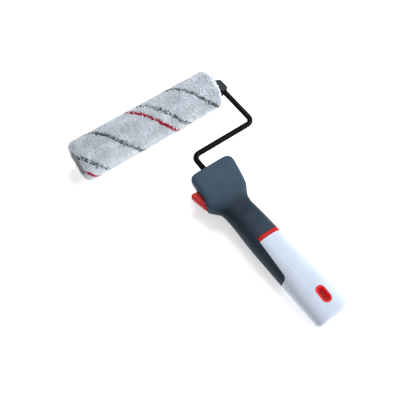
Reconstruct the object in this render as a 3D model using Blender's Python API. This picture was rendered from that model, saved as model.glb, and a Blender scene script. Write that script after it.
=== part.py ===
"""Paint roller with a quick-release handle, modelled piece by piece.

Tool frame: X runs along the axle, the handle points towards -Y, and Z is up.
Its origin is where the axle's line crosses the tang's line. The empty
tool_frame moves it so that the whole object's box stands centred on the
world origin, with its lowest point at Z = 0. All lengths are in metres.
"""
import math

import bmesh
import bpy
from mathutils import Vector

MM = 0.001

# ---- Driving dimensions ----------------------------------------------------
TOUCH_GAP = 0.3 * MM           # between pieces that touch
RUNNING_GAP = 0.35 * MM        # between pieces that turn or slide

SLEEVE_LENGTH = 180 * MM
SLEEVE_LEFT_X = -106.5 * MM    # free end of the sleeve
PILE_DIAMETER = 48 * MM
PILE_END_ROUND = 5 * MM
CORE_DIAMETER = 31 * MM
CORE_WALL = 1.5 * MM
CORE_RECESS = 1 * MM           # the core ends this far inside the pile

WIRE_DIAMETER = 6.3 * MM
ARM_GAP = 8 * MM               # from the sleeve's end to the middle of the wire's side arm
BACK_ARM_Y = -65.1 * MM        # arm that runs back towards the handle
AXLE_BEND_RADIUS = 5.5 * MM
ARM_BEND_RADIUS = 7.5 * MM
AXLE_END_INSET = 3.2 * MM      # axle's end, measured inside the sleeve's end
WIRE_CHAMFER = 1 * MM

SPINDLE_HUB_DIAMETER = 15 * MM
SPINDLE_RIBS = 6
SPINDLE_RIB_THICKNESS = 2.2 * MM
BEARING_DIAMETER = 10 * MM
BEARING_LENGTH = 12 * MM
BEARING_FLANGE = 1.2 * MM
END_CAP_LENGTH = 7 * MM
END_CAP_FLOOR = 1.5 * MM
END_FLANGE_INSET = 0.1 * MM    # the end flange's edge, inside the core's outer face
END_FLANGE_THICKNESS = 1.3 * MM
END_CONE_LENGTH = 1.2 * MM
END_CONE_RADIUS = 8 * MM
WASHER_THICKNESS = 0.8 * MM
WASHER_DIAMETER = 13 * MM
CLIP_THICKNESS = 0.8 * MM
CLIP_DIAMETER = 12 * MM

BOOT_HALF_WIDTH = 5.3 * MM
BOOT_INNER_WIDTH = 4.5 * MM
BOOT_LENGTH = 12 * MM
BOOT_CORNER_RADIUS = 4.5 * MM

HEAD_FRONT_Y = -88.5 * MM
SKIN = 3 * MM                  # overmould and rear shell
HEAD_CORNER_RADIUS = (4.6 * MM, 8.4 * MM)   # left and right
BUTT_CORNER_RADIUS = 4 * MM
EDGE_RADIUS = 2.4 * MM
BAND_START = 98 * MM           # distances along the handle from its front
BAND_WIDTH = 4 * MM
STRIP_END = 146 * MM
STRIP_CORNER_RADIUS = 5 * MM
TANG_DEPTH = 47 * MM
LATCH_DEPTH = 24 * MM
GROOVE_WIDTH = 2.2 * MM
GROOVE_RADIUS = 2.1 * MM
BUSH_DIAMETER = 12 * MM
BUSH_LENGTH = 34 * MM
LATCH_WIRE_DIAMETER = 1.2 * MM
LATCH_TIP_X = -9.4 * MM
LATCH_SPREAD = 0.8 * MM
LATCH_BEND_X = 5 * MM

TRIGGER_MIDDLE_Z = 1 * MM
TRIGGER_HALF_HEIGHT = 3.6 * MM  # of the pad that the thumb presses
TRIGGER_PAD_X = -26.2 * MM     # the pad's inner side
TRIGGER_BLADE_HALF_HEIGHT = 2.2 * MM
TRIGGER_LUG_X = -12.6 * MM     # the lug round the pivot
TRIGGER_LUG_Y = -119.8 * MM
TRIGGER_OUTER_X = -32.2 * MM
TRIGGER_TOP_Y = -104.9 * MM
TRIGGER_BACK_X = -16.6 * MM
TRIGGER_LOW_Y = -127.6 * MM
TRIGGER_PIVOT = Vector((-15.5 * MM, -124.5 * MM, 0))
TRIGGER_PIN_DIAMETER = 3 * MM
TRIGGER_PIN_Z = (-4.2 * MM, 6.1 * MM)
TRIGGER_TRAVEL = 3.2 * MM      # free room behind the trigger
TONGUE_LENGTH = 6.9 * MM       # tongue that spreads the latch spring
TONGUE_HALF_WIDTH = 1 * MM
TONGUE_HALF_HEIGHT = 1.9 * MM
SPRING_Y = -107.4 * MM
SPRING_DIAMETER = 4.6 * MM
SPRING_WIRE = 0.6 * MM
SPRING_TURNS = 5
SPRING_POCKET_DEPTH = 6 * MM

COVER_X = (-10.5 * MM, 17.5 * MM)
COVER_Y = (-122.5 * MM, -98 * MM)
COVER_Z = (-11.9 * MM, -8.9 * MM)
COVER_CORNER_RADIUS = 3 * MM
SCREW_INSET = 3.4 * MM
SCREW_HEAD_DIAMETER = 4.2 * MM
SCREW_HEAD_HEIGHT = 1.3 * MM
SCREW_SHANK_DIAMETER = 2.2 * MM
SCREW_LENGTH = 5.5 * MM

EYE_X = 6 * MM
EYE_DISTANCE = 177.5 * MM      # from the head's front
EYE_LENGTH = 17.6 * MM
EYE_WIDTH = 9.8 * MM
EYE_WALL = 0.4 * MM
EYE_LIP = 2.25 * MM            # how far the liner's rounded lip reaches inwards
EYE_LIP_SHARE = 0.36           # the lip's depth, as a share of the eye's half depth

# Handle sections: distance from the front, left X, right X, top Z, bottom Z,
# Z of the widest line, and how square the upper and lower halves are.
HANDLE_SECTIONS = [
    (0, -21.0, 31.8, 10.3, -11.0, 4.0, 5.0, 2.8),
    (16, -22.6, 28.9, 10.4, -11.3, 4.0, 5.0, 2.8),
    (30, -23.9, 25.6, 10.5, -11.5, 4.0, 5.0, 2.8),
    (37, -27.0, 24.0, 10.4, -11.5, 3.0, 4.5, 2.8),
    (41, -27.5, 22.4, 10.0, -11.2, 2.0, 3.8, 2.8),
    (46, -22.9, 19.2, 9.0, -10.4, 0.8, 3.0, 2.7),
    (51, -18.4, 16.8, 8.4, -10.2, 0.2, 2.7, 2.5),
    (57, -17.0, 15.9, 8.9, -10.6, 0.0, 2.5, 2.5),
    (70, -16.6, 16.6, 11.6, -12.6, 0.0, 2.4, 2.4),
    (98, -17.5, 17.7, 13.0, -13.0, 0.0, 2.5, 2.5),
    (145, -17.2, 20.7, 11.4, -11.4, 0.0, 2.6, 2.5),
    (199, -16.2, 23.5, 7.6, -7.6, 0.0, 2.7, 2.6),
]

# ---- Derived sizes ---------------------------------------------------------
HANDLE_LENGTH = HANDLE_SECTIONS[-1][0] * MM
SLEEVE_RIGHT_X = SLEEVE_LEFT_X + SLEEVE_LENGTH
ARM_X = SLEEVE_RIGHT_X + ARM_GAP
WIRE_RADIUS = WIRE_DIAMETER / 2
PILE_RADIUS = PILE_DIAMETER / 2
CORE_RADIUS = CORE_DIAMETER / 2
CORE_BORE_RADIUS = CORE_RADIUS - CORE_WALL
SPINDLE_RADIUS = CORE_BORE_RADIUS - RUNNING_GAP
END_FLANGE_RADIUS = CORE_RADIUS - END_FLANGE_INSET
BEARING_RADIUS = BEARING_DIAMETER / 2
AXLE_END_X = SLEEVE_LEFT_X + AXLE_END_INSET
BUTT_Y = HEAD_FRONT_Y - HANDLE_LENGTH
LATCH_Y = HEAD_FRONT_Y - LATCH_DEPTH
TANG_END_Y = HEAD_FRONT_Y - TANG_DEPTH
STRIP_EDGE_X = (-9.8 * MM, -12.6 * MM)   # strip's upper edge, front and rear
BOX_LOW = Vector((SLEEVE_LEFT_X, BUTT_Y, -PILE_RADIUS))
BOX_HIGH = Vector((ARM_X + BOOT_HALF_WIDTH, PILE_RADIUS, PILE_RADIUS))
ORIGIN_SHIFT = Vector((-(BOX_LOW.x + BOX_HIGH.x) / 2, -(BOX_LOW.y + BOX_HIGH.y) / 2, -BOX_LOW.z))

RING_POINTS = 32
STATION_SPACING = 7 * MM


# ---- Scene and materials ---------------------------------------------------
for old in list(bpy.data.objects):
    bpy.data.objects.remove(old)

frame_empty = bpy.data.objects.new("tool_frame", None)
bpy.context.scene.collection.objects.link(frame_empty)
frame_empty.location = ORIGIN_SHIFT


def material(name, colour, roughness, metallic=0.0):
    """A Principled material with one colour."""
    made = bpy.data.materials.new(name)
    made.use_nodes = True
    shader = made.node_tree.nodes["Principled BSDF"]
    shader.inputs["Base Color"].default_value = (*colour, 1)
    shader.inputs["Roughness"].default_value = roughness
    shader.inputs["Metallic"].default_value = metallic
    made.diffuse_color = (*colour, 1)
    return made


PILE_WHITE = material("pile_white", (0.62, 0.66, 0.74), 0.95)
CORE_GREY = material("core_grey", (0.45, 0.45, 0.45), 0.5)
BLACK_PLASTIC = material("black_plastic", (0.012, 0.012, 0.014), 0.4)
BLACK_PAINT = material("black_paint", (0.01, 0.01, 0.011), 0.25)
ACETAL = material("white_acetal", (0.8, 0.8, 0.78), 0.35)
STEEL = material("steel", (0.55, 0.56, 0.58), 0.3, 1.0)
RED_PLASTIC = material("red_plastic", (0.6, 0.04, 0.035), 0.35)
GREY_RUBBER = material("grey_rubber", (0.055, 0.08, 0.11), 0.65)
WHITE_PLASTIC = material("white_plastic", (0.72, 0.78, 0.9), 0.3)
GREY_PLASTIC = material("grey_plastic", (0.04, 0.05, 0.06), 0.5)


# ---- Mesh helpers ----------------------------------------------------------
def add_object(name, points, faces, finish, origin=(0, 0, 0), smooth_angle=35):
    """One object whose mesh is given in the tool frame and whose origin is set."""
    mesh = bpy.data.meshes.new(name)
    mesh.from_pydata([Vector(point) - Vector(origin) for point in points], [], faces)
    shape = bmesh.new()
    shape.from_mesh(mesh)
    bmesh.ops.recalc_face_normals(shape, faces=shape.faces)
    shape.to_mesh(mesh)
    shape.free()
    mesh.shade_smooth()
    mesh.set_sharp_from_angle(angle=math.radians(smooth_angle))
    mesh.materials.append(finish)
    made = bpy.data.objects.new(name, mesh)
    bpy.context.scene.collection.objects.link(made)
    made.parent = frame_empty
    made.location = origin
    return made


def bridge(rings, closed=False):
    """Faces between rings of equal length, with end caps unless the rings close up."""
    count = len(rings[0])
    points = [point for ring in rings for point in ring]
    faces = []
    last = len(rings) if closed else len(rings) - 1
    for row in range(last):
        low, high = row * count, ((row + 1) % len(rings)) * count
        for i in range(count):
            j = (i + 1) % count
            faces.append((low + i, low + j, high + j, high + i))
    if not closed:
        faces.append(tuple(reversed(range(count))))
        faces.append(tuple((len(rings) - 1) * count + i for i in range(count)))
    return points, faces


def turned(name, profile, finish, segments=48, closed=False, axis="X", centre=(0, 0, 0)):
    """A solid turned about a line along X, Y or Z: profile is (place on it, radius)."""
    forward = Vector([float(letter == axis) for letter in "XYZ"])
    side, up = Vector((forward.z, forward.x, forward.y)), Vector((forward.y, forward.z, forward.x))
    turns = [math.tau * i / segments for i in range(segments)]
    rings = []
    for place, radius in profile:
        middle = Vector(centre) + forward * place
        rings.append([middle + (side * math.cos(a) + up * math.sin(a)) * radius for a in turns])
    points, faces = bridge(rings, closed)
    return add_object(name, points, faces, finish)


def tube(name, start, end, inner, outer, finish, segments=48, axis="X"):
    """A plain tube on one of the axes."""
    profile = [(start, inner), (start, outer), (end, outer), (end, inner)]
    return turned(name, profile, finish, segments, True, axis)


def rod(name, start, end, radius, finish, segments=24, axis="X", centre=(0, 0, 0)):
    """A plain cylinder along X, Y or Z."""
    return turned(name, [(start, radius), (end, radius)], finish, segments, False, axis, centre)


def prism(name, outline, z0, z1, finish, origin=(0, 0, 0)):
    """An outline in X and Y, counter-clockwise from above, extruded in Z."""
    rings = [[(x, y, z) for x, y in outline] for z in (z0, z1)]
    points, faces = bridge(rings)
    return add_object(name, points, faces, finish, origin)


def rounded_outline(corners, steps=4):
    """A polygon with an arc at each corner: corners are (x, y, radius)."""
    outline = []
    for i, (x, y, radius) in enumerate(corners):
        here = Vector((x, y))
        if radius == 0:
            outline.append((x, y))
            continue
        to_last = (Vector(corners[i - 1][:2]) - here).normalized()
        to_next = (Vector(corners[(i + 1) % len(corners)][:2]) - here).normalized()
        half = to_last.angle(to_next) / 2
        centre = here + (to_last + to_next).normalized() * radius / math.sin(half)
        start = here + to_last * radius / math.tan(half) - centre
        end = here + to_next * radius / math.tan(half) - centre
        sweep = start.angle(end)
        for k in range(steps + 1):
            a = sweep * k / steps
            spoke = (start * math.sin(sweep - a) + end * math.sin(a)) / math.sin(sweep)
            outline.append(tuple(centre + spoke))
    return outline


def box_outline(x0, x1, y0, y1, radius=0.0):
    """A rectangle with rounded corners, counter-clockwise from above."""
    corners = [(x0, y0, radius), (x1, y0, radius), (x1, y1, radius), (x0, y1, radius)]
    return rounded_outline(corners)


def swept(name, path, finish, segments=16, origin=(0, 0, 0)):
    """A round bar along a path of (point, radius); the path is smooth or nearly so."""
    spots = [Vector(point) for point, _ in path]
    rings = []
    side = None
    for i, (spot, (_, radius)) in enumerate(zip(spots, path)):
        ahead = spots[min(i + 1, len(spots) - 1)]
        behind = spots[max(i - 1, 0)]
        forward = (ahead - behind).normalized()
        if side is None:
            side = forward.cross(Vector((0, 0, 1)))
            if side.length < 0.1:
                side = forward.cross(Vector((0, 1, 0)))
        side = (side - forward * side.dot(forward)).normalized()
        up = side.cross(forward)
        turns = [math.tau * k / segments for k in range(segments)]
        rings.append([spot + (side * math.cos(a) + up * math.sin(a)) * radius for a in turns])
    points, faces = bridge(rings)
    return add_object(name, points, faces, finish, origin, smooth_angle=40)


def bend(corner, before, after, radius, steps=7):
    """Points of the arc that rounds a path's corner between two unit directions."""
    corner, before, after = Vector(corner), Vector(before), Vector(after)
    half = (-before).angle(after) / 2
    reach = radius / math.tan(half)
    centre = corner + (after - before).normalized() * radius / math.sin(half)
    start = corner - before * reach - centre
    end = corner + after * reach - centre
    sweep = start.angle(end)
    spots = []
    for k in range(steps + 1):
        a = sweep * k / steps
        spots.append(centre + (start * math.sin(sweep - a) + end * math.sin(a)) / math.sin(sweep))
    return spots


def as_cutter(cutter):
    """Hide a piece that only shapes others."""
    cutter.hide_render = True
    cutter.display_type = "WIRE"
    return cutter


def boolean(target, other, operation="DIFFERENCE"):
    """Cut, join or intersect one object with a hidden one."""
    step = target.modifiers.new(other.name, "BOOLEAN")
    step.operation = operation
    step.solver = "EXACT"
    step.object = as_cutter(other)


# ---- Handle form -----------------------------------------------------------
def smooth_value(distance, column):
    """A value of the handle sections at a distance, without overshoot."""
    rows = HANDLE_SECTIONS
    spots = [row[0] * MM for row in rows]
    values = [row[column] for row in rows]
    last = len(rows) - 1
    i = max(0, min(last - 1, sum(1 for spot in spots if spot <= distance) - 1))

    def secant(k):
        return (values[k + 1] - values[k]) / (spots[k + 1] - spots[k])

    def slope(k):
        if k in (0, last):
            return secant(0) if k == 0 else secant(last - 1)
        low, high = secant(k - 1), secant(k)
        return 0.0 if low * high <= 0 else 2 * low * high / (low + high)

    span = spots[i + 1] - spots[i]
    t = min(1.0, max(0.0, (distance - spots[i]) / span))
    start, end = slope(i) * span, slope(i + 1) * span
    return ((2 * t**3 - 3 * t**2 + 1) * values[i] + (t**3 - 2 * t**2 + t) * start
            + (3 * t**2 - 2 * t**3) * values[i + 1] + (t**3 - t**2) * end)


def round_off(distance, radius):
    """How far a rounded edge of this radius stands back, at a distance from its end."""
    if radius <= 0 or distance >= radius:
        return 0.0
    return radius - math.sqrt(radius**2 - (radius - max(distance, 0.0))**2)


def handle_ring(distance, inset):
    """The handle's section at a distance from its front, offset inwards."""
    left, right, top, bottom, level = (smooth_value(distance, c) * MM for c in range(1, 6))
    square_top, square_bottom = smooth_value(distance, 6), smooth_value(distance, 7)
    from_front = distance - inset
    from_butt = HANDLE_LENGTH - inset - distance
    rear = inset + round_off(from_butt, BUTT_CORNER_RADIUS - inset)
    left += rear + round_off(from_front, HEAD_CORNER_RADIUS[0] - inset)
    right -= rear + round_off(from_front, HEAD_CORNER_RADIUS[1] - inset)
    flat = inset + round_off(min(from_front, from_butt), EDGE_RADIUS)
    centre, half = (left + right) / 2, (right - left) / 2
    ring = []
    for i in range(RING_POINTS):
        a = math.tau * i / RING_POINTS
        upper = math.sin(a) >= 0
        power = 2 / (square_top if upper else square_bottom)
        depth = (top - level if upper else level - bottom) - flat
        x = centre + math.copysign(abs(math.cos(a))**power, math.cos(a)) * half
        z = level + math.copysign(abs(math.sin(a))**power, math.sin(a)) * depth
        ring.append((x, HEAD_FRONT_Y - distance, z))
    return ring


def handle_stations(start, end, front_radius=0.0, rear_radius=0.0):
    """Distances along the handle, the same for every piece, with rounded ends."""
    spots = [row[0] * MM for row in HANDLE_SECTIONS]
    low, high = start + front_radius, end - rear_radius
    steps = [1 - math.cos(math.pi / 2 * k / 4) for k in range(4)]
    chosen = [start, end, low, high]
    chosen += [start + front_radius * step for step in steps]
    chosen += [end - rear_radius * step for step in steps]
    for first, second in zip(spots, spots[1:]):
        count = max(1, round((second - first) / STATION_SPACING))
        chosen += [first + (second - first) * k / count for k in range(count + 1)]
    kept = sorted({round(d, 6) for d in chosen if start <= d <= end})
    fixed = {round(d, 6) for d in (start, end, low, high)}
    result = []
    for d in kept:
        near_round = d < low or d > high
        if result and not near_round and d not in fixed and d - result[-1] < STATION_SPACING / 4:
            continue
        result.append(d)
    return result


def surface_z(x, distance, upper):
    """Height of the handle's surface above a point."""
    left, right, top, bottom, level = (smooth_value(distance, c) * MM for c in range(1, 6))
    power = smooth_value(distance, 6 if upper else 7)
    share = abs(x - (left + right) / 2) / ((right - left) / 2)
    rise = (1 - share**power)**(1 / power)
    return level + (top - level) * rise if upper else level - (level - bottom) * rise


def handle_shell(name, start, end, finish, closed_front):
    """A skin of the handle's form between two distances, closed at one end."""
    front, rear = (HEAD_CORNER_RADIUS[1], 0.0) if closed_front else (0.0, BUTT_CORNER_RADIUS)
    outside = [handle_ring(d, 0.0) for d in handle_stations(start, end, front, rear)]
    low, front = (start + SKIN, front - SKIN) if closed_front else (start, 0.0)
    high, rear = (end, 0.0) if closed_front else (end - SKIN, rear - SKIN)
    inside = [handle_ring(d, SKIN) for d in handle_stations(low, high, front, rear)]
    rings = inside + outside[::-1] if closed_front else inside[::-1] + outside
    points, faces = bridge(rings)
    return add_object(name, points, faces, finish)


def strip_zone(name, gap):
    """The block over the handle's left flank that the grip's rear strip fills."""
    far = -60 * MM
    front_y = HEAD_FRONT_Y - BAND_START + 2 * MM
    rear_y = HEAD_FRONT_Y - STRIP_END - gap
    front_x, rear_x = STRIP_EDGE_X[0] + gap, STRIP_EDGE_X[1] + gap
    outline = rounded_outline([(far, front_y, 0), (far, rear_y - 2 * MM, 0),
                               (rear_x, rear_y, STRIP_CORNER_RADIUS), (front_x, front_y, 0)])
    return prism(name, outline, -30 * MM, 30 * MM, GREY_RUBBER)


# ---- Sleeve and spindle ----------------------------------------------------
def build_sleeve():
    """The pile cover and the core tube that it is bonded to."""
    bore = CORE_RADIUS + TOUCH_GAP
    turns = [math.pi / 2 * k / 4 for k in range(5)]
    corner = PILE_END_ROUND
    left = [(SLEEVE_LEFT_X + corner * (1 - math.sin(a)), PILE_RADIUS - corner * (1 - math.cos(a)))
            for a in reversed(turns)]
    right = [(SLEEVE_LEFT_X + SLEEVE_RIGHT_X - x, radius) for x, radius in reversed(left)]
    profile = [(SLEEVE_LEFT_X, bore)] + left + right + [(SLEEVE_RIGHT_X, bore)]
    turned("pile_cover", profile, PILE_WHITE, closed=True)
    tube("core_tube", SLEEVE_LEFT_X + CORE_RECESS, SLEEVE_RIGHT_X - CORE_RECESS,
         CORE_BORE_RADIUS, CORE_RADIUS, CORE_GREY)


def build_spindle_body(left, right):
    """The plastic spindle: a hub with ribs that the core tube slides over."""
    hub = SPINDLE_HUB_DIAMETER / 2
    half = SPINDLE_RIB_THICKNESS / 2
    section = []
    for rib in range(SPINDLE_RIBS):
        a = math.tau * rib / SPINDLE_RIBS
        corners = ((hub, -half), (SPINDLE_RADIUS, -half), (SPINDLE_RADIUS, half), (hub, half))
        for radius, side in corners:
            turn = a + math.asin(side / radius)
            section.append((radius * math.cos(turn), radius * math.sin(turn)))
        middle = a + math.pi / SPINDLE_RIBS
        section.append((hub * math.cos(middle), hub * math.sin(middle)))
    points, faces = bridge([[(x, y, z) for y, z in section] for x in (left, right)])
    spindle = add_object("spindle_body", points, faces, BLACK_PLASTIC)
    boolean(spindle, rod("spindle_bore", left - 1 * MM, right + 1 * MM,
                         BEARING_RADIUS + TOUCH_GAP, BLACK_PLASTIC, 32))


def build_spindle():
    """The ribbed spindle, its two bearings and its two end caps."""
    left = SLEEVE_LEFT_X + CORE_RECESS + END_CAP_LENGTH
    right = SLEEVE_RIGHT_X - CORE_RECESS - END_CAP_LENGTH
    build_spindle_body(left, right)
    hub = SPINDLE_HUB_DIAMETER / 2
    free = WIRE_RADIUS + RUNNING_GAP
    for name, mouth, inward in (("free_end_bearing", left, 1), ("frame_side_bearing", right, -1)):
        seat = mouth - inward * TOUCH_GAP
        lip = seat - inward * BEARING_FLANGE
        deep = mouth + inward * BEARING_LENGTH
        turned(name, [(lip, free), (lip, hub - 1 * MM), (seat, hub - 1 * MM), (seat, BEARING_RADIUS),
                      (deep, BEARING_RADIUS), (deep, free)], ACETAL, 32, closed=True)

    face = SLEEVE_LEFT_X + CORE_RECESS
    cup = hub
    turned("free_end_cap", [(face, 0.5 * MM), (face, SPINDLE_RADIUS - 1 * MM),
                            (face + 1 * MM, SPINDLE_RADIUS), (left - TOUCH_GAP, SPINDLE_RADIUS),
                            (left - TOUCH_GAP, cup), (face + END_CAP_FLOOR, cup),
                            (face + END_CAP_FLOOR, 0.5 * MM)], BLACK_PLASTIC, 40)

    seat = right + TOUCH_GAP
    flange = SLEEVE_RIGHT_X + TOUCH_GAP
    cone = flange + END_FLANGE_THICKNESS
    nose = cone + END_CONE_LENGTH
    floor = seat + BEARING_FLANGE + 2 * TOUCH_GAP
    turned("frame_side_cap", [(seat, cup), (seat, SPINDLE_RADIUS), (flange, SPINDLE_RADIUS),
                              (flange, END_FLANGE_RADIUS), (cone, END_FLANGE_RADIUS),
                              (nose, END_CONE_RADIUS), (nose, free), (floor, free),
                              (floor, cup)], BLACK_PLASTIC, 40, closed=True)
    return left, nose


# ---- Wire frame ------------------------------------------------------------
def wire_path(extra=0.0):
    """The frame's centre line and radii from the axle's free end to the tang's end."""
    radius = WIRE_RADIUS + extra
    along, back, tail = Vector((1, 0, 0)), Vector((0, -1, 0)), Vector((-1, 0, 0))
    path = [((AXLE_END_X, 0, 0), radius - WIRE_CHAMFER), ((AXLE_END_X + WIRE_CHAMFER, 0, 0), radius)]
    for corner, before, after, bend_radius in (
            ((ARM_X, 0, 0), along, back, AXLE_BEND_RADIUS),
            ((ARM_X, BACK_ARM_Y, 0), back, tail, ARM_BEND_RADIUS),
            ((0, BACK_ARM_Y, 0), tail, back, ARM_BEND_RADIUS)):
        path += [(spot, radius) for spot in bend(corner, before, after, bend_radius)]
    half = GROOVE_WIDTH / 2
    ramp = half + (WIRE_RADIUS - GROOVE_RADIUS) / 3
    for y, size in ((LATCH_Y + ramp, radius), (LATCH_Y + half, GROOVE_RADIUS + extra),
                    (LATCH_Y - half, GROOVE_RADIUS + extra), (LATCH_Y - ramp, radius),
                    (TANG_END_Y + WIRE_CHAMFER, radius), (TANG_END_Y, radius - WIRE_CHAMFER)):
        path.append(((0, y, 0), size))
    return path


def build_frame(spindle_left, nose):
    """The bent wire with its retaining clip, thrust washer and stop boot."""
    swept("wire_frame", wire_path(), BLACK_PAINT)

    on_wire = WIRE_RADIUS + TOUCH_GAP
    clip_right = spindle_left - BEARING_FLANGE - 3 * TOUCH_GAP
    tube("retaining_clip", clip_right - CLIP_THICKNESS, clip_right, on_wire,
         CLIP_DIAMETER / 2, STEEL, 24)

    washer_left = nose + RUNNING_GAP
    washer_right = washer_left + WASHER_THICKNESS
    tube("thrust_washer", washer_left, washer_right, on_wire + TOUCH_GAP,
         WASHER_DIAMETER / 2, STEEL, 24)

    half = BOOT_HALF_WIDTH
    left, top = washer_right + TOUCH_GAP, half - 0.8 * MM
    outline = rounded_outline([
        (left, -WASHER_DIAMETER / 2 - 0.5 * MM, 0), (ARM_X - BOOT_INNER_WIDTH, -8.8 * MM, 0),
        (ARM_X - BOOT_INNER_WIDTH, -BOOT_LENGTH - 2 * MM, 1 * MM),
        (ARM_X + half, -BOOT_LENGTH + 1 * MM, 1 * MM),
        (ARM_X + half, top, BOOT_CORNER_RADIUS), (left, top, 0)])
    boot = prism("stop_boot", outline, -top, top, BLACK_PLASTIC)
    rounding = boot.modifiers.new("rounding", "BEVEL")
    rounding.width = 2.2 * MM
    rounding.segments = 3
    rounding.limit_method = "ANGLE"
    rounding.angle_limit = math.radians(60)
    boolean(boot, swept("boot_bore", wire_path(TOUCH_GAP), BLACK_PLASTIC))


# ---- Handle ----------------------------------------------------------------
def tang_line_cutter(name, radius, start, end):
    """A round cutter along the tang's line, between two distances from the front."""
    return rod(name, HEAD_FRONT_Y - end, HEAD_FRONT_Y - start, radius, STEEL, 24, "Y")


def trigger_slot():
    """The space that the trigger moves in, open at the head's left flank."""
    half = TRIGGER_HALF_HEIGHT + RUNNING_GAP
    wall = TRIGGER_BACK_X + TRIGGER_TRAVEL
    low = TRIGGER_LOW_Y - 2 * MM
    outline = [(-50 * MM, low), (TRIGGER_LUG_X + 1 * MM, low),
               (TRIGGER_LUG_X + 1 * MM, TRIGGER_LUG_Y + 1 * MM), (wall, TRIGGER_LUG_Y + 1 * MM),
               (wall, TRIGGER_TOP_Y + 2 * MM), (-50 * MM, TRIGGER_TOP_Y + 2 * MM)]
    return prism("trigger_space", outline, TRIGGER_MIDDLE_Z - half, TRIGGER_MIDDLE_Z + half,
                 RED_PLASTIC)


def block(name, x, y, z):
    """A plain block between two values on each axis."""
    return prism(name, box_outline(x[0], x[1], y[0], y[1]), z[0], z[1], STEEL)


def eye_ring(height_share, grow):
    """The hang eye's oval outline, following the handle's upper and lower surfaces."""
    x0, y0 = EYE_X, HEAD_FRONT_Y - EYE_DISTANCE
    radius = EYE_WIDTH / 2 + grow
    straight = (EYE_LENGTH - EYE_WIDTH) / 2
    ring = []
    for i in range(24):
        a = math.tau * (i + 0.5) / 24
        x = x0 + radius * math.cos(a)
        y = y0 + math.copysign(straight, math.sin(a)) + radius * math.sin(a)
        surface = abs(surface_z(x, HEAD_FRONT_Y - y, height_share > 0)) - TOUCH_GAP
        ring.append((x, y, surface * height_share))
    return ring


def build_handle_bodies():
    """The red core and band, the grey grip, the white rear shell and the eye's liner."""
    inset = SKIN + TOUCH_GAP
    stations = handle_stations(inset, HANDLE_LENGTH - inset, HEAD_CORNER_RADIUS[1] - inset,
                               BUTT_CORNER_RADIUS - inset)
    points, faces = bridge([handle_ring(d, inset) for d in stations])
    core = add_object("handle_core", points, faces, RED_PLASTIC)

    band_end = BAND_START + BAND_WIDTH
    outside = [handle_ring(d, 0.0) for d in (BAND_START, band_end)]
    inside = [handle_ring(d, SKIN) for d in (band_end, BAND_START)]
    points, faces = bridge(outside + inside, closed=True)
    band = add_object("accent_band", points, faces, RED_PLASTIC)

    grip = handle_shell("soft_grip", 0.0, STRIP_END + 3 * MM, GREY_RUBBER, True)
    rear = handle_shell("rear_shell", band_end + TOUCH_GAP, HANDLE_LENGTH, WHITE_PLASTIC, False)

    strip_space = strip_zone("strip_space", TOUCH_GAP)
    boolean(band, strip_space)
    boolean(rear, strip_space)
    beyond = block("beyond_grip", (-70 * MM, 70 * MM),
                   (HEAD_FRONT_Y - STRIP_END - 20 * MM, HEAD_FRONT_Y - BAND_START + TOUCH_GAP),
                   (-40 * MM, 40 * MM))
    boolean(beyond, strip_zone("strip_form", 0.0))
    boolean(grip, beyond)

    points, faces = bridge([[(x, y, z) for x, y, _ in eye_ring(1, TOUCH_GAP)]
                            for z in (-30 * MM, 30 * MM)])
    eye_space = add_object("eye_space", points, faces, RED_PLASTIC)
    boolean(core, eye_space)
    boolean(rear, eye_space)
    turns = [math.pi / 2 * k / 4 for k in range(5)]
    lip = [(1 - EYE_LIP_SHARE * (1 - math.sin(a)), EYE_WALL + EYE_LIP * math.cos(a)) for a in turns]
    lips = [(-share, wall) for share, wall in reversed(lip)] + lip
    inner = [eye_ring(share, -wall) for share, wall in lips]
    outer = [eye_ring(t, 0.0) for t in (1, -1)]
    points, faces = bridge(inner + outer, closed=True)
    add_object("hang_eye_liner", points, faces, RED_PLASTIC)
    return core, grip


def build_latch(core, grip):
    """The bush that holds the tang, the latch spring, and the spaces for them."""
    first, last = SKIN + 2 * TOUCH_GAP, SKIN + 2 * TOUCH_GAP + BUSH_LENGTH
    bush = tube("tang_bush", HEAD_FRONT_Y - last, HEAD_FRONT_Y - first,
                WIRE_RADIUS + RUNNING_GAP, BUSH_DIAMETER / 2, ACETAL, 24, "Y")
    boolean(grip, tang_line_cutter("grip_hole", WIRE_RADIUS + RUNNING_GAP, -5 * MM, 2 * SKIN))
    boolean(core, tang_line_cutter("bush_seat", BUSH_DIAMETER / 2 + TOUCH_GAP,
                                   -5 * MM, last + TOUCH_GAP))
    boolean(core, tang_line_cutter("tang_bore", WIRE_RADIUS + RUNNING_GAP,
                                   0.0, TANG_DEPTH + 1 * MM))

    leg = GROOVE_RADIUS + LATCH_WIRE_DIAMETER / 2 + 0.15 * MM
    flare = LATCH_SPREAD
    turn_x = LATCH_BEND_X
    path = [(LATCH_TIP_X, leg + flare), (LATCH_TIP_X + 2.2 * MM, leg), (turn_x, leg)]
    path += [(turn_x + leg * math.sin(a), leg * math.cos(a))
             for a in (math.pi * k / 8 for k in range(1, 8))]
    path += [(turn_x, -leg), (LATCH_TIP_X + 2.2 * MM, -leg), (LATCH_TIP_X, -leg - flare)]
    wire = [((x, LATCH_Y, z), LATCH_WIRE_DIAMETER / 2) for x, z in path]
    swept("latch_spring", wire, STEEL, 8)

    room = LATCH_WIRE_DIAMETER / 2 + TOUCH_GAP
    pocket = block("latch_space", (LATCH_TIP_X - room, turn_x + leg + room),
                   (LATCH_Y - room, LATCH_Y + room), (-25 * MM, leg + flare + room))
    boolean(core, pocket)
    boolean(bush, pocket)


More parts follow.
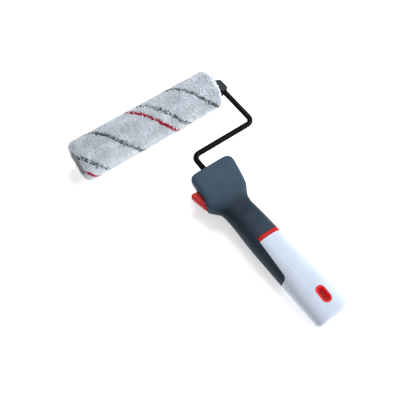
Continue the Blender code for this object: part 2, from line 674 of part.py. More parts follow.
def build_trigger(core, grip):
    """The release trigger with its pin and return spring, and the space they need."""
    pivot = TRIGGER_PIVOT
    middle = TRIGGER_MIDDLE_Z
    low_outer = (TRIGGER_OUTER_X + 4.4 * MM, TRIGGER_LOW_Y + 0.6 * MM)
    blade = TRIGGER_BLADE_HALF_HEIGHT
    outline = rounded_outline([
        (low_outer[0] + 1 * MM, low_outer[1] + 0.5 * MM, 2 * MM),
        (TRIGGER_LUG_X, TRIGGER_LOW_Y, 2.8 * MM), (TRIGGER_LUG_X, TRIGGER_LUG_Y, 2 * MM),
        (TRIGGER_BACK_X, TRIGGER_LUG_Y + 1.5 * MM, 0), (TRIGGER_BACK_X, TRIGGER_TOP_Y, 1 * MM),
        (TRIGGER_OUTER_X + 1 * MM, TRIGGER_TOP_Y - 0.5 * MM, 2 * MM)])
    trigger = prism("release_trigger", outline, middle - blade, middle + blade, RED_PLASTIC,
                    tuple(pivot))
    pad_slant = 3.2 * MM
    half = TRIGGER_HALF_HEIGHT
    pad_outline = rounded_outline([
        (*low_outer, 1.8 * MM), (TRIGGER_PAD_X + pad_slant, TRIGGER_LOW_Y + 0.9 * MM, 1.2 * MM),
        (TRIGGER_PAD_X, TRIGGER_TOP_Y, 1.2 * MM), (TRIGGER_OUTER_X, TRIGGER_TOP_Y, 2.4 * MM)])
    pad = prism("trigger_pad", pad_outline, middle - half, middle + half, RED_PLASTIC)
    rounding = pad.modifiers.new("rounding", "BEVEL")
    rounding.width = 1.1 * MM
    rounding.segments = 3
    rounding.limit_method = "ANGLE"
    rounding.angle_limit = math.radians(60)
    boolean(trigger, pad, "UNION")
    tip = TRIGGER_BACK_X + TONGUE_LENGTH
    tongue = block("tongue", (TRIGGER_BACK_X - 2 * MM, tip),
                   (LATCH_Y - TONGUE_HALF_WIDTH, LATCH_Y + TONGUE_HALF_WIDTH),
                   (-TONGUE_HALF_HEIGHT, TONGUE_HALF_HEIGHT))
    boolean(trigger, tongue, "UNION")
    pin = TRIGGER_PIN_DIAMETER / 2
    boolean(trigger, rod("pin_bore", -20 * MM, 20 * MM, pin + RUNNING_GAP, STEEL, 24, "Z", pivot))
    rod("trigger_pin", TRIGGER_PIN_Z[0], TRIGGER_PIN_Z[1], pin, STEEL, 24, "Z", pivot)
    boolean(core, rod("pin_hole", TRIGGER_PIN_Z[0] - TOUCH_GAP, TRIGGER_PIN_Z[1] + TOUCH_GAP,
                      pin + TOUCH_GAP, STEEL, 24, "Z", pivot))

    slot = trigger_slot()
    boolean(core, slot)
    boolean(grip, slot)
    wall = TRIGGER_BACK_X + TRIGGER_TRAVEL
    channel = TONGUE_HALF_WIDTH + 1.6 * MM
    room = TONGUE_HALF_HEIGHT + RUNNING_GAP
    boolean(core, block("tongue_space", (wall - 1 * MM, LATCH_TIP_X + 2 * MM),
                        (LATCH_Y - channel, LATCH_Y + channel), (-room, room)))

    start = TRIGGER_BACK_X + SPRING_WIRE / 2 + TOUCH_GAP
    end = wall + SPRING_POCKET_DEPTH - SPRING_WIRE / 2 - TOUCH_GAP
    radius = (SPRING_DIAMETER - SPRING_WIRE) / 2
    steps = 12 * SPRING_TURNS
    coil = []
    for k in range(steps + 1):
        a = math.tau * SPRING_TURNS * k / steps
        spot = (start + (end - start) * k / steps, SPRING_Y + radius * math.cos(a), radius * math.sin(a))
        coil.append((spot, SPRING_WIRE / 2))
    swept("trigger_spring", coil, STEEL, 6)
    boolean(core, rod("spring_pocket", wall - 1 * MM, wall + SPRING_POCKET_DEPTH,
                      SPRING_DIAMETER / 2 + TOUCH_GAP, STEEL, 20, "X", (0, SPRING_Y, 0)))


def build_latch_cover(core, grip):
    """The cover under the latch and its four screws."""
    outline = box_outline(*COVER_X, *COVER_Y, COVER_CORNER_RADIUS)
    cover = prism("latch_cover", outline, COVER_Z[0], COVER_Z[1], GREY_PLASTIC)
    window = box_outline(COVER_X[0] - TOUCH_GAP, COVER_X[1] + TOUCH_GAP, COVER_Y[0] - TOUCH_GAP,
                         COVER_Y[1] + TOUCH_GAP, COVER_CORNER_RADIUS + TOUCH_GAP)
    boolean(grip, prism("cover_window", window, -25 * MM, -6 * MM, GREY_PLASTIC))

    shank = SCREW_SHANK_DIAMETER / 2
    head = SCREW_HEAD_DIAMETER / 2
    low = COVER_Z[0] + 0.1 * MM
    seat = low + SCREW_HEAD_HEIGHT
    tip = seat + SCREW_LENGTH
    number = 0
    for x in (COVER_X[0] + SCREW_INSET, COVER_X[1] - SCREW_INSET):
        for y in (COVER_Y[0] + SCREW_INSET, COVER_Y[1] - SCREW_INSET):
            number += 1
            profile = [(low, head - 0.4 * MM), (low + 0.4 * MM, head), (seat, head), (seat, shank),
                       (tip - shank, shank), (tip, 0.2 * MM)]
            turned(f"cover_screw_{number}", profile, STEEL, 16, False, "Z", (x, y, 0))
            step = [(COVER_Z[0] - 1 * MM, head + TOUCH_GAP), (seat + TOUCH_GAP, head + TOUCH_GAP),
                    (seat + TOUCH_GAP, shank + TOUCH_GAP), (tip + TOUCH_GAP, shank + TOUCH_GAP)]
            hole = turned(f"screw_space_{number}", step, STEEL, 16, False, "Z", (x, y, 0))
            boolean(cover, hole)
            boolean(core, hole)


def build():
    """The whole roller."""
    build_sleeve()
    spindle_left, nose = build_spindle()
    build_frame(spindle_left, nose)
    core, grip = build_handle_bodies()
    build_latch(core, grip)
    build_trigger(core, grip)
    build_latch_cover(core, grip)


build()
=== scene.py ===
"""Paint roller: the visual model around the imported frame, with materials, light and camera."""
import math

import bmesh
import bpy
import numpy as np
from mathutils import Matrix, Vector


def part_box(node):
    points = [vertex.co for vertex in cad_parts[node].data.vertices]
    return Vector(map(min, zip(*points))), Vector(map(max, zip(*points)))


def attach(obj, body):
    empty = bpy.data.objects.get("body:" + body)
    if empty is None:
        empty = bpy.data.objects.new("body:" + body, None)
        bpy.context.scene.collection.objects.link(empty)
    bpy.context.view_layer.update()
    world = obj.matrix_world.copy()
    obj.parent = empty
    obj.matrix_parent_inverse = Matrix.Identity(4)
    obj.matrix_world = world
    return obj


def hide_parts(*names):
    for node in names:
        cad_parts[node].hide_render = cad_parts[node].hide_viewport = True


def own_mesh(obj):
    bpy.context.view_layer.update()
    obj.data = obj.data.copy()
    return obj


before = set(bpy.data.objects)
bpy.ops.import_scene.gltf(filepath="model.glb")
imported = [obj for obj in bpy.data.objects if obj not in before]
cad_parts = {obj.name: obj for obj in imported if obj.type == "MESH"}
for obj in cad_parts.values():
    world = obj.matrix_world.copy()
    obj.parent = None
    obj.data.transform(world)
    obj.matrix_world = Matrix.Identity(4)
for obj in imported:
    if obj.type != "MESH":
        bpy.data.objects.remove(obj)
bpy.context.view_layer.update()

MM = 0.001
SEED = 11
SMOOTH_ANGLE = math.radians(40)   # edges sharper than this stay sharp

# ---- Places read from the frame ---------------------------------------------
pile_low, pile_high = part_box("pile_cover")
bush_low, bush_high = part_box("tang_bush")
AXLE_Y = (pile_low.y + pile_high.y) / 2
AXLE_Z = (pile_low.z + pile_high.z) / 2
PILE_RADIUS = (pile_high.z - pile_low.z) / 2
TANG_X = (bush_low.x + bush_high.x) / 2
HEAD_FRONT_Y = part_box("soft_grip")[1].y
TOOL = Vector((TANG_X, AXLE_Y, AXLE_Z))


# ---- Mesh helpers -----------------------------------------------------------
def new_object(name, points, faces, material):
    """One mesh object in the row frame, with its faces pointing out."""
    mesh = bpy.data.meshes.new(name)
    mesh.from_pydata([tuple(p) for p in points], [], faces)
    shape = bmesh.new()
    shape.from_mesh(mesh)
    bmesh.ops.recalc_face_normals(shape, faces=shape.faces)
    shape.to_mesh(mesh)
    shape.free()
    mesh.shade_smooth()
    mesh.set_sharp_from_angle(angle=SMOOTH_ANGLE)
    made = bpy.data.objects.new(name, mesh)
    bpy.context.scene.collection.objects.link(made)
    mesh.materials.append(material)
    return made


# ---- Material helpers -------------------------------------------------------
class Nodes:
    """Short hand for a material's node tree: positions are in metres, in the row frame."""

    def __init__(self, name):
        self.material = bpy.data.materials.new(name)
        self.material.use_nodes = True
        self.tree = self.material.node_tree
        self.shader = self.tree.nodes["Principled BSDF"]
        self.coords = self.tree.nodes.new("ShaderNodeTexCoord").outputs["Object"]

    def link(self, source, target):
        self.tree.links.new(source, target)

    def put(self, socket, value):
        """A fixed value goes on the shader's own socket."""
        self.shader.inputs[socket].default_value = value

    def noise(self, size, detail=2.0, stretch=(1, 1, 1)):
        """Noise with features of about this size, stretched along an axis where a factor is under 1."""
        scale = self.tree.nodes.new("ShaderNodeMapping")
        scale.inputs["Scale"].default_value = stretch
        self.link(self.coords, scale.inputs["Vector"])
        node = self.tree.nodes.new("ShaderNodeTexNoise")
        node.inputs["Scale"].default_value = 1 / size
        node.inputs["Detail"].default_value = detail
        self.link(scale.outputs["Vector"], node.inputs["Vector"])
        return node.outputs["Fac"]

    def ramp(self, factor, stops):
        """A colour ramp: stops are (place, colour)."""
        node = self.tree.nodes.new("ShaderNodeValToRGB")
        elements = node.color_ramp.elements
        while len(elements) < len(stops):
            elements.new(0.5)
        for element, (place, colour) in zip(elements, stops):
            element.position = place
            element.color = (*colour, 1)
        self.link(factor, node.inputs["Fac"])
        return node.outputs["Color"]

    def span(self, factor, low, high):
        """The factor from 0.3 to 0.7 spread over a range of values."""
        node = self.tree.nodes.new("ShaderNodeMapRange")
        node.inputs["From Min"].default_value = 0.3
        node.inputs["From Max"].default_value = 0.7
        node.inputs["To Min"].default_value = low
        node.inputs["To Max"].default_value = high
        self.link(factor, node.inputs["Value"])
        return node.outputs["Result"]

    def band(self, axis, low, high):
        """0 to 1 as the position along one axis goes from low to high."""
        split = self.tree.nodes.new("ShaderNodeSeparateXYZ")
        self.link(self.coords, split.inputs["Vector"])
        node = self.tree.nodes.new("ShaderNodeMapRange")
        node.interpolation_type = "SMOOTHSTEP"
        node.inputs["From Min"].default_value = low
        node.inputs["From Max"].default_value = high
        self.link(split.outputs[axis], node.inputs["Value"])
        return node.outputs["Result"]

    def mix(self, factor, first, second, blend="MIX"):
        """Two colours, or a colour socket and a colour, mixed."""
        node = self.tree.nodes.new("ShaderNodeMix")
        node.data_type = "RGBA"
        node.blend_type = blend
        inputs = [node.inputs[0], node.inputs[6], node.inputs[7]]
        for socket, value in zip(inputs, (factor, first, second)):
            if isinstance(value, bpy.types.NodeSocket):
                self.link(value, socket)
            else:
                socket.default_value = (*value, 1) if isinstance(value, tuple) else value
        return node.outputs[2]

    def bump(self, height, depth):
        """Bump of this depth in metres, added to any bump before it."""
        node = self.tree.nodes.new("ShaderNodeBump")
        node.inputs["Strength"].default_value = 1.0
        node.inputs["Distance"].default_value = depth
        self.link(height, node.inputs["Height"])
        earlier = self.shader.inputs["Normal"]
        if earlier.is_linked:
            self.link(earlier.links[0].from_socket, node.inputs["Normal"])
        self.link(node.outputs["Normal"], earlier)


def plastic(name, dark, light, rough, shine=0.45):
    """Moulded plastic: slow colour drift, patches of different gloss and a fine moulded grain."""
    n = Nodes(name)
    n.link(n.ramp(n.noise(18 * MM), [(0.3, dark), (0.7, light)]), n.shader.inputs["Base Color"])
    n.link(n.span(n.noise(6 * MM, 3.0), rough[0], rough[1]), n.shader.inputs["Roughness"])
    n.bump(n.noise(0.35 * MM, 3.0), 0.02 * MM)
    n.put("Specular IOR Level", shine)
    return n.material


# ---- Materials --------------------------------------------------------------
def rubber_material():
    """Soft-touch rubber: matt, with painted shade darkening the grip and most of all the neck, a fine
    grain and slightly polished patches.
    """
    n = Nodes("soft_touch_rubber")
    drift = n.ramp(n.noise(22 * MM), [(0.3, (0.033, 0.064, 0.098)), (0.7, (0.041, 0.076, 0.114))])
    # Painted shade: the grip is darkened and the neck most of all, so the head's top stands out as if
    # lit.
    painted_shade_along_handle = n.ramp(n.band(1, HEAD_FRONT_Y - 100 * MM, HEAD_FRONT_Y - 28 * MM),
                     [(0.0, (0.45, 0.46, 0.48)), (0.5, (0.18, 0.26, 0.3)), (0.72, (0.18, 0.26, 0.3)),
                      (1.0, (1.0, 1.0, 1.0))])
    # From here the colour drift also carries the painted shade.
    drift = n.mix(1.0, drift, painted_shade_along_handle, "MULTIPLY")
    speck = n.ramp(n.noise(0.5 * MM, 2.0), [(0.35, (0.8, 0.8, 0.8)), (0.65, (1.0, 1.0, 1.0))])
    n.link(n.mix(1.0, drift, speck, "MULTIPLY"), n.shader.inputs["Base Color"])
    n.link(n.span(n.noise(9 * MM, 3.0), 0.55, 0.68), n.shader.inputs["Roughness"])
    n.put("Specular IOR Level", 0.3)
    n.bump(n.noise(0.45 * MM, 3.0), 0.035 * MM)
    return n.material


def paint_material():
    """Thick glossy black paint with orange peel and a few dull rubbed places."""
    n = Nodes("black_gloss_paint")
    n.link(n.ramp(n.noise(5 * MM, 3.0), [(0.35, (0.004, 0.004, 0.004)), (0.7, (0.008, 0.008, 0.008))]),
           n.shader.inputs["Base Color"])
    n.link(n.span(n.noise(3 * MM, 4.0), 0.14, 0.34), n.shader.inputs["Roughness"])
    n.put("Specular IOR Level", 0.04)
    n.bump(n.noise(1.1 * MM, 1.0), 0.02 * MM)
    return n.material


def steel_material():
    """Bright steel with fine drawn lines."""
    n = Nodes("bright_steel")
    lines = n.noise(0.25 * MM, 3.0, (0.08, 1, 1))
    n.link(n.ramp(lines, [(0.3, (0.4, 0.41, 0.43)), (0.7, (0.62, 0.63, 0.65))]),
           n.shader.inputs["Base Color"])
    n.put("Metallic", 1.0)
    n.link(n.span(lines, 0.22, 0.42), n.shader.inputs["Roughness"])
    n.bump(lines, 0.01 * MM)
    return n.material


def core_material():
    """The sleeve's core tube: a wound board with a fibre grain along it."""
    n = Nodes("wound_core")
    fibres = n.noise(0.5 * MM, 4.0, (0.3, 1, 1))
    n.link(n.ramp(fibres, [(0.3, (0.38, 0.39, 0.4)), (0.7, (0.52, 0.53, 0.54))]),
           n.shader.inputs["Base Color"])
    n.link(n.span(n.noise(4 * MM), 0.5, 0.7), n.shader.inputs["Roughness"])
    n.bump(fibres, 0.05 * MM)
    return n.material


def pile_material():
    """Yarn: each tuft's own colour, with painted shade towards its root, and fine fibres."""
    n = Nodes("striped_pile")
    colour = n.tree.nodes.new("ShaderNodeVertexColor")
    colour.layer_name = "yarn"
    fibres = n.ramp(n.noise(0.35 * MM, 3.0), [(0.3, (0.93, 0.93, 0.935)), (0.65, (1.0, 1.0, 1.0))])
    n.link(n.mix(1.0, colour.outputs["Color"], fibres, "MULTIPLY"), n.shader.inputs["Base Color"])
    n.put("Roughness", 0.95)
    n.put("Specular IOR Level", 0.15)
    n.put("Sheen Weight", 0.3)
    n.put("Sheen Roughness", 0.4)
    n.put("Subsurface Weight", 0.35)
    n.put("Subsurface Radius", (1.0, 1.0, 1.0))
    n.put("Subsurface Scale", 2.5 * MM)
    n.bump(n.noise(0.3 * MM, 3.0), 0.1 * MM)
    return n.material


RUBBER = rubber_material()
PAINT = paint_material()
STEEL = steel_material()
CORE = core_material()
PILE = pile_material()
RED = plastic("red_plastic", (0.47, 0.007, 0.006), (0.55, 0.012, 0.009), (0.34, 0.48), 0.16)
# Painted light: a brighter copy of the red plastic, standing in for light inside the hanging eye.
EYE_RED_PAINTED_LIGHT = plastic("eye_red_plastic_painted_light", (0.72, 0.012, 0.018), (0.82, 0.018, 0.026), (0.34, 0.48), 0.16)
WHITE = plastic("white_plastic", (0.56, 0.60, 0.69), (0.61, 0.65, 0.735), (0.24, 0.4))
BLACK = plastic("black_plastic", (0.006, 0.006, 0.007), (0.011, 0.011, 0.012), (0.32, 0.5), 0.2)
GREY = plastic("grey_plastic", (0.035, 0.045, 0.055), (0.05, 0.062, 0.074), (0.4, 0.6))
ACETAL = plastic("white_acetal", (0.66, 0.66, 0.63), (0.78, 0.78, 0.75), (0.25, 0.4))

CAD_MATERIALS = {
    "pile_cover": PILE, "core_tube": CORE, "spindle_body": BLACK, "frame_side_cap": BLACK,
    "free_end_cap": BLACK, "frame_side_bearing": ACETAL, "free_end_bearing": ACETAL,
    "wire_frame": PAINT, "stop_boot": BLACK, "thrust_washer": STEEL, "retaining_clip": STEEL,
    "handle_core": RED, "soft_grip": RUBBER, "rear_shell": WHITE, "accent_band": RED,
    "hang_eye_liner": EYE_RED_PAINTED_LIGHT, "tang_bush": ACETAL, "latch_spring": STEEL, "release_trigger": RED,
    "trigger_pin": STEEL, "trigger_spring": STEEL, "latch_cover": GREY,
    "cover_screw_1": STEEL, "cover_screw_2": STEEL, "cover_screw_3": STEEL, "cover_screw_4": STEEL,
}
for node_name, node_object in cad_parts.items():
    node_object.data.materials.clear()
    node_object.data.materials.append(CAD_MATERIALS[node_name])

# Moulded edges: a small rounded edge on the outside pieces.
EDGE_ROUNDS = {"soft_grip": 0.5 * MM, "rear_shell": 0.35 * MM, "accent_band": 0.3 * MM,
               "release_trigger": 0.5 * MM, "stop_boot": 0.7 * MM, "latch_cover": 0.4 * MM,
               "handle_core": 0.3 * MM, "free_end_cap": 0.2 * MM, "frame_side_cap": 0.2 * MM}
for node_name, width in EDGE_ROUNDS.items():
    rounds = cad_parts[node_name].modifiers.new("edge_rounds", "BEVEL")
    rounds.width = width
    rounds.segments = 2
    rounds.limit_method = "ANGLE"
    rounds.angle_limit = SMOOTH_ANGLE
    rounds.harden_normals = True


# ---- Pile -------------------------------------------------------------------
STRIPE_LEAD = 104 * MM          # the fabric strip is wound on with this pitch
STRIPE_START = -20 * MM        # where the red thread crosses the top line, from the free end
WHITE_YARN = (0.89, 0.93, 0.985)
RED_YARN = (0.52, 0.004, 0.03)
GREY_YARN = (0.075, 0.085, 0.105)
# Each thread: its place along the lead, half its width, how many tufts take it, its colour.
THREADS = [(0.0, 2.1 * MM, 0.95, RED_YARN), (0.152, 2.3 * MM, 0.62, GREY_YARN),
           (0.55, 2.2 * MM, 0.74, GREY_YARN)]
END_CORNER = 4.2 * MM          # the padded base's corner at each end
TUFT_REACH = 2.31 * MM          # how far the tufts stand out of the padded base
TUFT_ROOT = 0.5 * MM            # how deep they start inside it
TUFT_RADIUS = 0.68 * MM
TUFT_SPACING = 1.25 * MM


def pile_profile(length, radius, inner, inset):
    """The padded base's outline from bore to bore: place along it, x, radius and lean of its normal."""
    lean = np.linspace(-math.pi / 2, 0, 12)
    corner_x = inset + END_CORNER * (1 + np.sin(lean))
    corner_r = radius - END_CORNER * (1 - np.cos(lean))
    x = np.concatenate([[inset], corner_x, length - corner_x[::-1], [length - inset]])
    r = np.concatenate([[inner], corner_r, corner_r[::-1], [inner]])
    lean = np.concatenate([[-math.pi / 2], lean, -lean[::-1], [math.pi / 2]])
    along = np.concatenate([[0], np.cumsum(np.hypot(np.diff(x), np.diff(r)))])
    return along, x, r, lean


def thread_colours(x, turn, rng):
    """Each tuft's yarn colour from its place along the sleeve and round it."""
    colours = np.tile(np.array(WHITE_YARN), (len(x), 1))
    phase = (x - STRIPE_START) / STRIPE_LEAD - turn / math.tau
    stray = smooth_field(x, turn, np.random.default_rng(SEED + 5), size=1.5 * MM) * 0.75 * MM
    for place, half, share, yarn in THREADS:
        off = ((phase - place + 0.5) % 1.0 - 0.5) * STRIPE_LEAD + stray + rng.normal(0, 0.3 * MM, len(x))
        chosen = (np.abs(off) < half) & (rng.random(len(x)) < share)
        colours[chosen] = yarn
    return colours


def smooth_field(x, turn, rng, waves=14, size=7 * MM):
    """A slow random field over the sleeve, about -1 to 1, that joins up round it."""
    total = np.zeros_like(x)
    for _ in range(waves):
        k = rng.normal(0, 1 / size)
        m = round(rng.normal(0, PILE_RADIUS / size))
        total += np.sin(k * x + m * turn + rng.random() * math.tau)
    return total / math.sqrt(waves)


def build_pile():
    """A padded base with thousands of curved tufts, coloured by the thread they belong to, with painted
    shade towards the roots and on the base.
    """
    rng = np.random.default_rng(SEED)
    length = pile_high.x - pile_low.x
    inset = TUFT_REACH + 0.25 * MM
    base_radius = PILE_RADIUS - 0.5 * MM - TUFT_REACH
    bore = (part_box("core_tube")[1].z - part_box("core_tube")[0].z) / 2 + 0.3 * MM
    outline = pile_profile(length, base_radius, bore + 0.8 * MM, inset)
    total = outline[0][-1]

    # Base: a closed tube whose outside is softly lumpy.
    rows, columns = 150, 110
    along = np.linspace(0, total, rows)
    turns = np.arange(columns) * math.tau / columns
    grid_along, grid_turn = np.meshgrid(along, turns, indexing="ij")
    x, r, lean = (np.interp(grid_along.ravel(), outline[0], values) for values in outline[1:])
    turn = grid_turn.ravel()
    lump = smooth_field(x, turn, np.random.default_rng(SEED + 1), size=2.2 * MM) * 0.25 * MM
    r = r + lump * np.cos(lean)
    base = np.stack([x, r * -np.sin(turn), r * np.cos(turn)], 1)
    # Painted shade: the base between the tufts is a little darker than their yarn.
    base_colour = thread_colours(x, turn, np.random.default_rng(SEED + 2)) * 0.95
    ring = np.stack([np.cos(turns) * 0, -np.sin(turns) * bore, np.cos(turns) * bore], 1)
    inner_first = ring + [inset, 0, 0]
    inner_last = ring + [length - inset, 0, 0]
    points = [base, inner_last, inner_first]
    # Painted shade: the end faces darken towards the bore.
    colours = [base_colour, np.tile(WHITE_YARN, (2 * columns, 1)) * 0.7]
    count = rows + 2
    faces = []
    for row in range(count):
        low, high = row * columns, ((row + 1) % count) * columns
        for i in range(columns):
            j = (i + 1) % columns
            faces.append((low + i, low + j, high + j, high + i))

    # Tufts: bent tapered prongs standing on the base.
    around = int(math.tau * base_radius / TUFT_SPACING)
    lanes = int(total / TUFT_SPACING)
    lane, spot = np.meshgrid(np.arange(lanes), np.arange(around), indexing="ij")
    jitter = rng.normal(0, 0.28, (2, lanes * around))
    tuft_along = np.clip((lane.ravel() + 0.5 + jitter[0]) * TUFT_SPACING, 0, total)
    tuft_turn = (spot.ravel() + 0.5 * (lane.ravel() % 2) + jitter[1]) * math.tau / around
    x, r, lean = (np.interp(tuft_along, outline[0], values) for values in outline[1:])
    number = len(x)
    axis = np.array([1.0, 0, 0])
    radial = np.stack([np.zeros(number), -np.sin(tuft_turn), np.cos(tuft_turn)], 1)
    tangent = np.stack([np.zeros(number), -np.cos(tuft_turn), -np.sin(tuft_turn)], 1)
    normal = radial * np.cos(lean)[:, None] + axis * np.sin(lean)[:, None]
    across = axis * np.cos(lean)[:, None] - radial * np.sin(lean)[:, None]
    root = np.stack([x, r * -np.sin(tuft_turn), r * np.cos(tuft_turn)], 1) - normal * TUFT_ROOT
    field = np.random.default_rng(SEED + 3)
    lean_x = smooth_field(x, tuft_turn, field, size=3.2 * MM) * 0.34 + rng.normal(0, 0.24, number)
    lean_t = smooth_field(x, tuft_turn, field, size=3.2 * MM) * 0.34 + rng.normal(0, 0.24, number)
    height = TUFT_REACH + TUFT_ROOT + rng.normal(0, 0.28 * MM, number)
    height += smooth_field(x, tuft_turn, field, size=5 * MM) * 0.22 * MM
    width = TUFT_RADIUS * (1 + rng.normal(0, 0.12, number))
    bend = across * lean_x[:, None] + tangent * lean_t[:, None]
    tuft_colour = thread_colours(x, tuft_turn, rng)
    tuft_colour = tuft_colour * (1 + rng.normal(0, 0.045, number))[:, None]
    sides = 3
    start = rows * columns + 2 * columns
    twist = rng.random(number) * math.tau
    # Painted shade: each tuft's colour darkens towards its root.
    levels = ((0.0, 1.0, 0.86), (0.72, 0.85, 0.98))
    for share, thick, tuft_painted_shade in levels:
        centre = root + (normal * share + bend * share**2 * 0.8) * height[:, None]
        for side in range(sides):
            a = twist + math.tau * side / sides
            ring_point = centre + (across * np.cos(a)[:, None] + tangent * np.sin(a)[:, None]) \
                * (width * thick)[:, None]
            points.append(ring_point)
            colours.append(tuft_colour * tuft_painted_shade)
    # The tip's colour is a slight painted highlight.
    points.append(root + (normal * 1.04 + bend * 0.9) * height[:, None])
    colours.append(tuft_colour * 1.03)

    index = np.arange(number)

    def vertex(level, side):
        return start + (level * sides + side % sides) * number + index

    for level in range(len(levels) - 1):
        for side in range(sides):
            quad = np.stack([vertex(level, side), vertex(level, side + 1),
                             vertex(level + 1, side + 1), vertex(level + 1, side)], 1)
            faces.extend(map(tuple, quad.tolist()))
    top = len(levels) - 1
    tip = start + len(levels) * sides * number + index
    for side in range(sides):
        faces.extend(map(tuple, np.stack([vertex(top, side), vertex(top, side + 1), tip], 1).tolist()))
    for_base = np.stack([vertex(0, 2), vertex(0, 1), vertex(0, 0)], 1)
    faces.extend(map(tuple, for_base.tolist()))

    all_points = np.concatenate(points) + np.array([pile_low.x, AXLE_Y, AXLE_Z])
    all_colours = np.clip(np.concatenate(colours), 0, 1)
    mesh = bpy.data.meshes.new("pile")
    mesh.from_pydata(all_points.tolist(), [], faces)
    layer = mesh.color_attributes.new("yarn", "FLOAT_COLOR", "POINT")
    rgba = np.concatenate([all_colours, np.ones((len(all_colours), 1))], 1)
    layer.data.foreach_set("color", rgba.ravel())
    mesh.shade_smooth()
    mesh.materials.append(PILE)
    made = bpy.data.objects.new("striped_pile", mesh)
    bpy.context.scene.collection.objects.link(made)
    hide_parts("pile_cover")
    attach(made, "sleeve")


build_pile()


# ---- Spring and screws ------------------------------------------------------
def build_spring():
    """The trigger's return spring, with closed end coils."""
    low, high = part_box("trigger_spring")
    middle = (low + high) / 2
    wire, turns, sides = 0.3 * MM, 6, 8
    radius = (high.z - low.z) / 2 - wire
    steps = turns * 24
    points = []
    for k in range(steps + 1):
        a = math.tau * turns * k / steps
        rise = min(max((k / steps * turns - 0.8) / (turns - 1.6), 0), 1)
        flat = wire * 0.9 * (k / steps * 2 - 1)
        x = low.x + 3 * wire + (high.x - low.x - 6 * wire) * rise + flat
        out = Vector((0, math.cos(a), math.sin(a)))
        for side in range(sides):
            b = math.tau * side / sides
            points.append(Vector((x, middle.y, middle.z)) + out * (radius + wire * math.cos(b))
                          + Vector((wire * math.sin(b), 0, 0)))
    faces = [tuple(range(sides)), tuple(steps * sides + side for side in range(sides))]
    for k in range(steps):
        for side in range(sides):
            low_row, next_side = k * sides, (side + 1) % sides
            faces.append((low_row + side, low_row + next_side, low_row + sides + next_side,
                          low_row + sides + side))
    made = new_object("return_spring", points, faces, STEEL)
    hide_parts("trigger_spring")
    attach(made, "handle")
    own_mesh(made)


def build_screw(node_name):
    """A pan-head screw with a cross recess, head down."""
    low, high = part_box(node_name)
    centre = Vector(((low.x + high.x) / 2, (low.y + high.y) / 2, 0))
    head = (high.x - low.x) / 2
    thick, shank = 1.3 * MM, 1.1 * MM
    rings = [(head * k / 14, low.z + 0.35 * MM * (k / 14) ** 4) for k in range(1, 14)]
    rings += [(head, low.z + 0.6 * MM), (head, low.z + thick), (shank, low.z + thick)]
    pitch = 0.45 * MM
    z = low.z + thick + pitch
    while z < high.z - pitch:
        rings += [(shank - 0.18 * MM, z), (shank, z + pitch / 2)]
        z += pitch
    rings += [(shank * 0.5, high.z)]
    around = 64
    points = [centre + Vector((0, 0, low.z + 0.7 * MM))]
    for radius, height in rings:
        for i in range(around):
            a = math.tau * i / around
            u, v = abs(radius * math.cos(a)), abs(radius * math.sin(a))
            arm = min(u, v) < 0.3 * MM and max(u, v) < head * 0.68 and height < low.z + 0.3 * MM
            sink = 0.7 * MM if arm else 0.0
            points.append(centre + Vector((radius * math.cos(a), radius * math.sin(a), height + sink)))
    points.append(centre + Vector((0, 0, high.z)))
    faces = []
    for i in range(around):
        j = (i + 1) % around
        faces.append((0, 1 + j, 1 + i))
        for ring in range(len(rings) - 1):
            row = 1 + ring * around
            faces.append((row + i, row + j, row + around + j, row + around + i))
        row = 1 + (len(rings) - 1) * around
        faces.append((row + i, row + j, len(points) - 1))
    made = new_object(node_name.replace("cover_screw", "cross_screw"), points, faces, STEEL)
    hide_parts(node_name)
    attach(made, "handle")


build_spring()
for screw in ("cover_screw_1", "cover_screw_2", "cover_screw_3", "cover_screw_4"):
    build_screw(screw)


# ---- Floor, light and camera ------------------------------------------------
FLOOR_SIZE = 40.0
FLOOR_GLOW = 0.5
BRIGHT_SIDE = (0.7, -0.7, 0.1)
STUDIO_DIM = 0.12
STUDIO_BRIGHT = 0.75
LAMP_COLOUR = (0.86, 0.94, 1.0)
# Each lamp: its name, place, size and power.
LAMPS = [("key", (0.85, -0.55, 0.62), 0.8, 13.0), ("back", (0.36, 0.50, 0.95), 0.42, 5.0)]
LENS = 52.2
CAMERA_TARGET = Vector((-25.7, -113.4, 0)) * MM   # from the tool's origin
CAMERA_DIRECTION = Vector((-0.2915, -0.4063, 0.8660))
CAMERA_DISTANCE = 0.5987


def look_at(thing, target):
    """Turns an object's -Z axis to a point, with its top up."""
    thing.rotation_mode = "QUATERNION"
    thing.rotation_quaternion = (Vector(target) - thing.location).to_track_quat("-Z", "Y")


def floor_slope():
    """The slope of the flat surface that touches the sleeve and the handle's underside."""
    best = 1.0
    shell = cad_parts["rear_shell"].data
    for vertex in shell.vertices:
        back = AXLE_Y - vertex.co.y
        best = min(best, (vertex.co.z - AXLE_Z + PILE_RADIUS) / back)
    return best


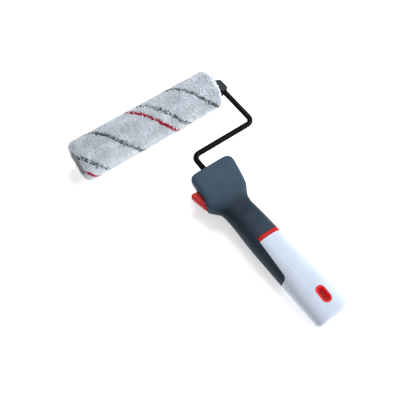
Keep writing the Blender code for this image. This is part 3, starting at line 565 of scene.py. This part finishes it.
def build_floor():
    """A pale floor, tilted to touch the sleeve and the handle's underside."""
    tilt = math.atan(floor_slope())
    mesh = bpy.data.meshes.new("floor")
    half = FLOOR_SIZE / 2
    mesh.from_pydata([(-half, -half, 0), (half, -half, 0), (half, half, 0), (-half, half, 0)], [],
                     [(0, 1, 2, 3)])
    floor = bpy.data.objects.new("floor", mesh)
    bpy.context.scene.collection.objects.link(floor)
    floor.location = (0, AXLE_Y, AXLE_Z - PILE_RADIUS / math.cos(tilt) - 0.1 * MM)
    floor.rotation_euler = (-tilt, 0, 0)
    n = Nodes("pale_floor")
    n.link(n.ramp(n.noise(0.2), [(0.3, (0.93, 0.93, 0.93)), (0.7, (0.95, 0.95, 0.95))]),
           n.shader.inputs["Base Color"])
    n.put("Roughness", 0.9)
    n.put("Emission Color", (1, 1, 1, 1))
    n.put("Emission Strength", FLOOR_GLOW)
    mesh.materials.append(n.material)


def build_light():
    """A studio that is dimmer on the sleeve's free side, and two soft lamps."""
    world = bpy.data.worlds.new("studio")
    world.use_nodes = True
    nodes = world.node_tree.nodes
    side = nodes.new("ShaderNodeVectorMath")
    side.operation = "DOT_PRODUCT"
    side.inputs[1].default_value = BRIGHT_SIDE
    world.node_tree.links.new(nodes.new("ShaderNodeTexCoord").outputs["Generated"], side.inputs[0])
    fade = nodes.new("ShaderNodeMapRange")
    fade.inputs["From Min"].default_value = -1.0
    fade.inputs["To Min"].default_value = STUDIO_DIM
    fade.inputs["To Max"].default_value = STUDIO_BRIGHT
    world.node_tree.links.new(side.outputs["Value"], fade.inputs["Value"])
    world.node_tree.links.new(fade.outputs["Result"], nodes["Background"].inputs["Strength"])
    nodes["Background"].inputs["Color"].default_value = (1, 1, 1, 1)
    bpy.context.scene.world = world

    for name, place, size, power in LAMPS:
        lamp = bpy.data.lights.new(name, "AREA")
        lamp.color = LAMP_COLOUR
        lamp.size = size
        lamp.energy = power
        holder = bpy.data.objects.new(name, lamp)
        bpy.context.scene.collection.objects.link(holder)
        holder.location = place
        look_at(holder, (0, 0, 0.02))


def build_camera():
    """The camera, placed from the tool's own origin."""
    camera_data = bpy.data.cameras.new("camera")
    camera_data.sensor_width = 36
    camera_data.lens = LENS
    camera = bpy.data.objects.new("camera", camera_data)
    bpy.context.scene.collection.objects.link(camera)
    target = TOOL + CAMERA_TARGET
    camera.location = target + CAMERA_DIRECTION * CAMERA_DISTANCE
    look_at(camera, target)
    bpy.context.scene.camera = camera
    bpy.context.scene.view_settings.view_transform = "Standard"


build_floor()
build_light()
build_camera()
